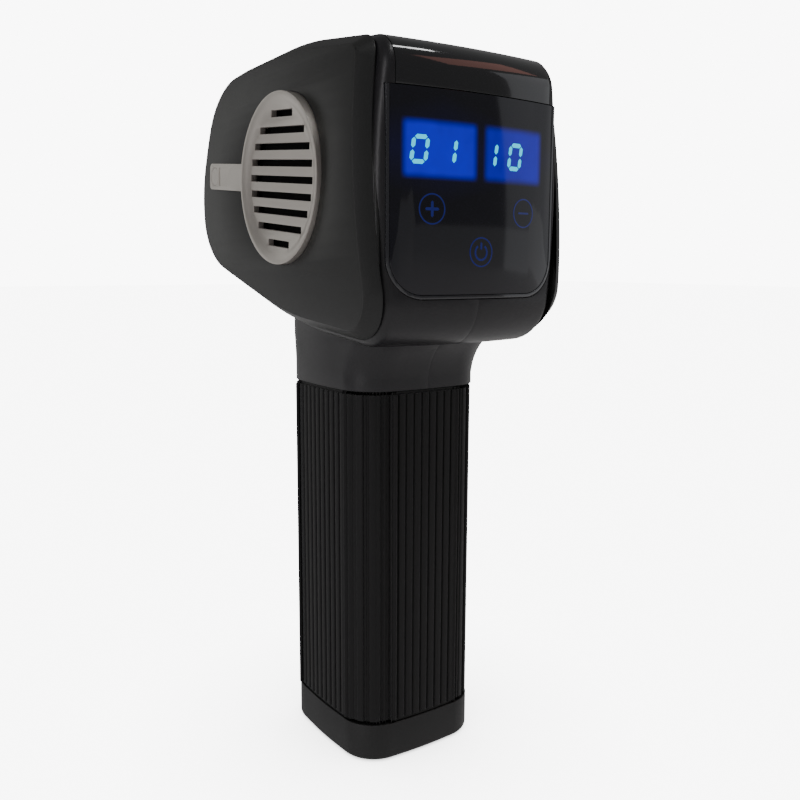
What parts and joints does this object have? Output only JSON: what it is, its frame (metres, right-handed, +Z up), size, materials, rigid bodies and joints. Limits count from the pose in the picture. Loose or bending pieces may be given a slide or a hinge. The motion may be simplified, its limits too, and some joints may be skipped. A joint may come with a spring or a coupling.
{
  "type": "massage gun",
  "caption": "Handheld percussion massage gun: pitched head with side vents and a rear display, ribbed upright grip, reciprocating piston with an open socket.",
  "frame": {"origin": "centre of the flat base of the handle", "axes": "+Z up along the handle, piston and nose towards +Y, display towards -Y, +X to the user's right when reading the display"},
  "size_m": [0.079, 0.127, 0.23],
  "materials": {
    "housing_plastic": "fine satin texture, near black",
    "cover_plastic": "matte black side panels",
    "vent_metal": "warm silver, satin",
    "cap_gloss": "polished end of the tab",
    "mesh_black": "woven dust screen",
    "lens_gloss": "smoked black window",
    "bezel_gloss": "dark satin rim",
    "trim_gloss": "piano black",
    "led_blue": "blue and cyan light",
    "board_green": "solder mask",
    "grip_rubber": "ribbed soft-touch rubber",
    "jack_plastic": "black socket",
    "contact_brass": "plated contact",
    "switch_plastic": "black rocker",
    "screw_steel": "zinc plated",
    "cell_wrap": "shrink wrap",
    "holder_plastic": "moulded holder",
    "strap_nickel": "nickel strip",
    "foam": "closed-cell foam",
    "cast_metal": "die cast",
    "steel": "ground steel",
    "copper": "enamelled copper",
    "yoke_steel": "machined",
    "piston_metal": "turned and anodised",
    "bush_plastic": "acetal",
    "seal_rubber": "nitrile",
    "ring_plastic": "satin black ring",
    "fan_plastic": "moulded fan",
    "lead_red": "silicone insulation"
  },
  "bodies": {
    "body": {"housing_left": "housing_plastic", "housing_right": "housing_plastic", "housing_screws": "screw_steel", "side_cover_right": "cover_plastic", "side_cover_left": "cover_plastic", "vent_grille_right": "vent_metal", "vent_grille_left": "vent_metal", "tab_caps": "cap_gloss", "dust_screens": "mesh_black", "display_lens": "lens_gloss", "display_bezel": "bezel_gloss", "top_trim": "trim_gloss", "touch_board": "board_green", "speed_display": "led_blue", "time_display": "led_blue", "touch_pads": "led_blue", "grip_sleeve": "grip_rubber", "base_cap": "housing_plastic", "charge_jack": "jack_plastic", "charge_contact": "contact_brass", "switch_frame": "switch_plastic", "base_screws": "screw_steel", "battery_cells": "cell_wrap", "cell_holder_bottom": "holder_plastic", "cell_holder_top": "holder_plastic", "cell_straps": "strap_nickel", "battery_board": "board_green", "battery_terminals": "strap_nickel", "battery_tray": "holder_plastic", "battery_foam": "foam", "motor_mount": "cast_metal", "motor_stator": "steel", "stator_coils": "copper", "motor_bearings": "steel", "yoke_bush": "bush_plastic", "piston_sleeve": "bush_plastic", "wiper_seal": "seal_rubber", "nose_ring": "ring_plastic", "fan_frame": "fan_plastic", "control_board": "board_green", "board_components": "jack_plastic", "power_leads": "lead_red"},
    "crank": {"rotor_bell": "steel", "rotor_magnets": "yoke_steel", "motor_shaft": "steel", "crank_web": "yoke_steel", "crank_pin": "steel", "crank_roller": "steel"},
    "piston": {"drive_yoke": "yoke_steel", "piston": "piston_metal"},
    "fan": {"fan_rotor": "fan_plastic"},
    "rocker": {"power_rocker": "switch_plastic"}
  },
  "joints": [
    {"name": "crank_turn", "type": "hinge", "parent": "body", "child": "crank", "pos_m": [0, 0, 0.1862], "axis": [1, 0, 0], "range_deg": [-90, 90]},
    {"name": "piston_stroke", "type": "slide", "parent": "body", "child": "piston", "axis": [0, 0.9959, 0.0906], "range_m": [-0.006, 0.006]},
    {"name": "fan_spin", "type": "hinge", "parent": "body", "child": "fan", "pos_m": [0, -0.00027, 0.18919], "axis": [1, 0, 0], "continuous": true},
    {"name": "power_switch", "type": "hinge", "parent": "body", "child": "rocker", "pos_m": [0, 0.009, 0.0054], "axis": [1, 0, 0], "range_deg": [0, 14]}
  ],
  "couplings": [
    {"joint": "piston_stroke", "follows": "crank_turn", "m_per_rad": -0.003819}
  ]
}
